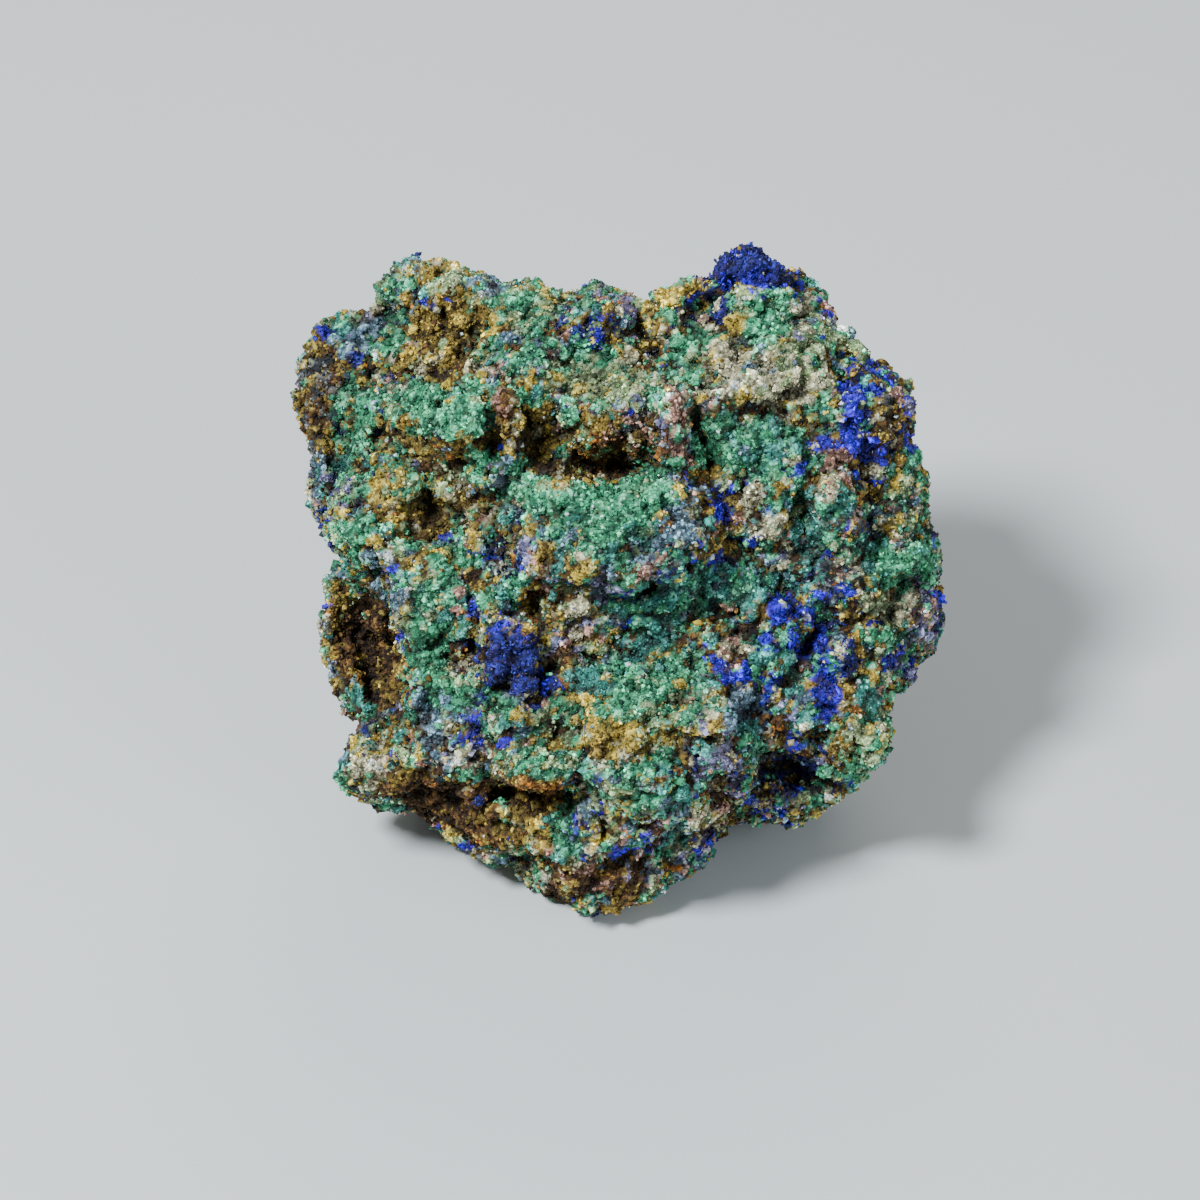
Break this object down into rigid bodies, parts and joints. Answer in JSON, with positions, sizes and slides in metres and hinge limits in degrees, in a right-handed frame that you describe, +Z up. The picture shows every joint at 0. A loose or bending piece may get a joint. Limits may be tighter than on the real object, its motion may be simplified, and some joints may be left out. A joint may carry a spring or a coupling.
{
  "type": "azurite specimen",
  "caption": "Hand-sized lump of rough mineral: ochre rock crusted with green malachite and patches of small blue azurite crystals, resting on a broken flat base",
  "frame": {"origin": "on the surface that the stone rests on, under the middle of its overall box", "axes": "+X to the right along the widest width with the show face towards -Y, +Y to the back, +Z up"},
  "size_m": [0.077, 0.0662, 0.0641],
  "materials": {
    "gossan": "rough ochre and brown iron-stained rock, matt, grainy and pitted",
    "azurite": "deep blue small-crystal crust with a glassy sparkle",
    "malachite": "mint to dark green lumpy crust, matt to silky"
  },
  "bodies": {
    "root": {"azurite_specimen": "gossan"}
  },
  "joints": []
}
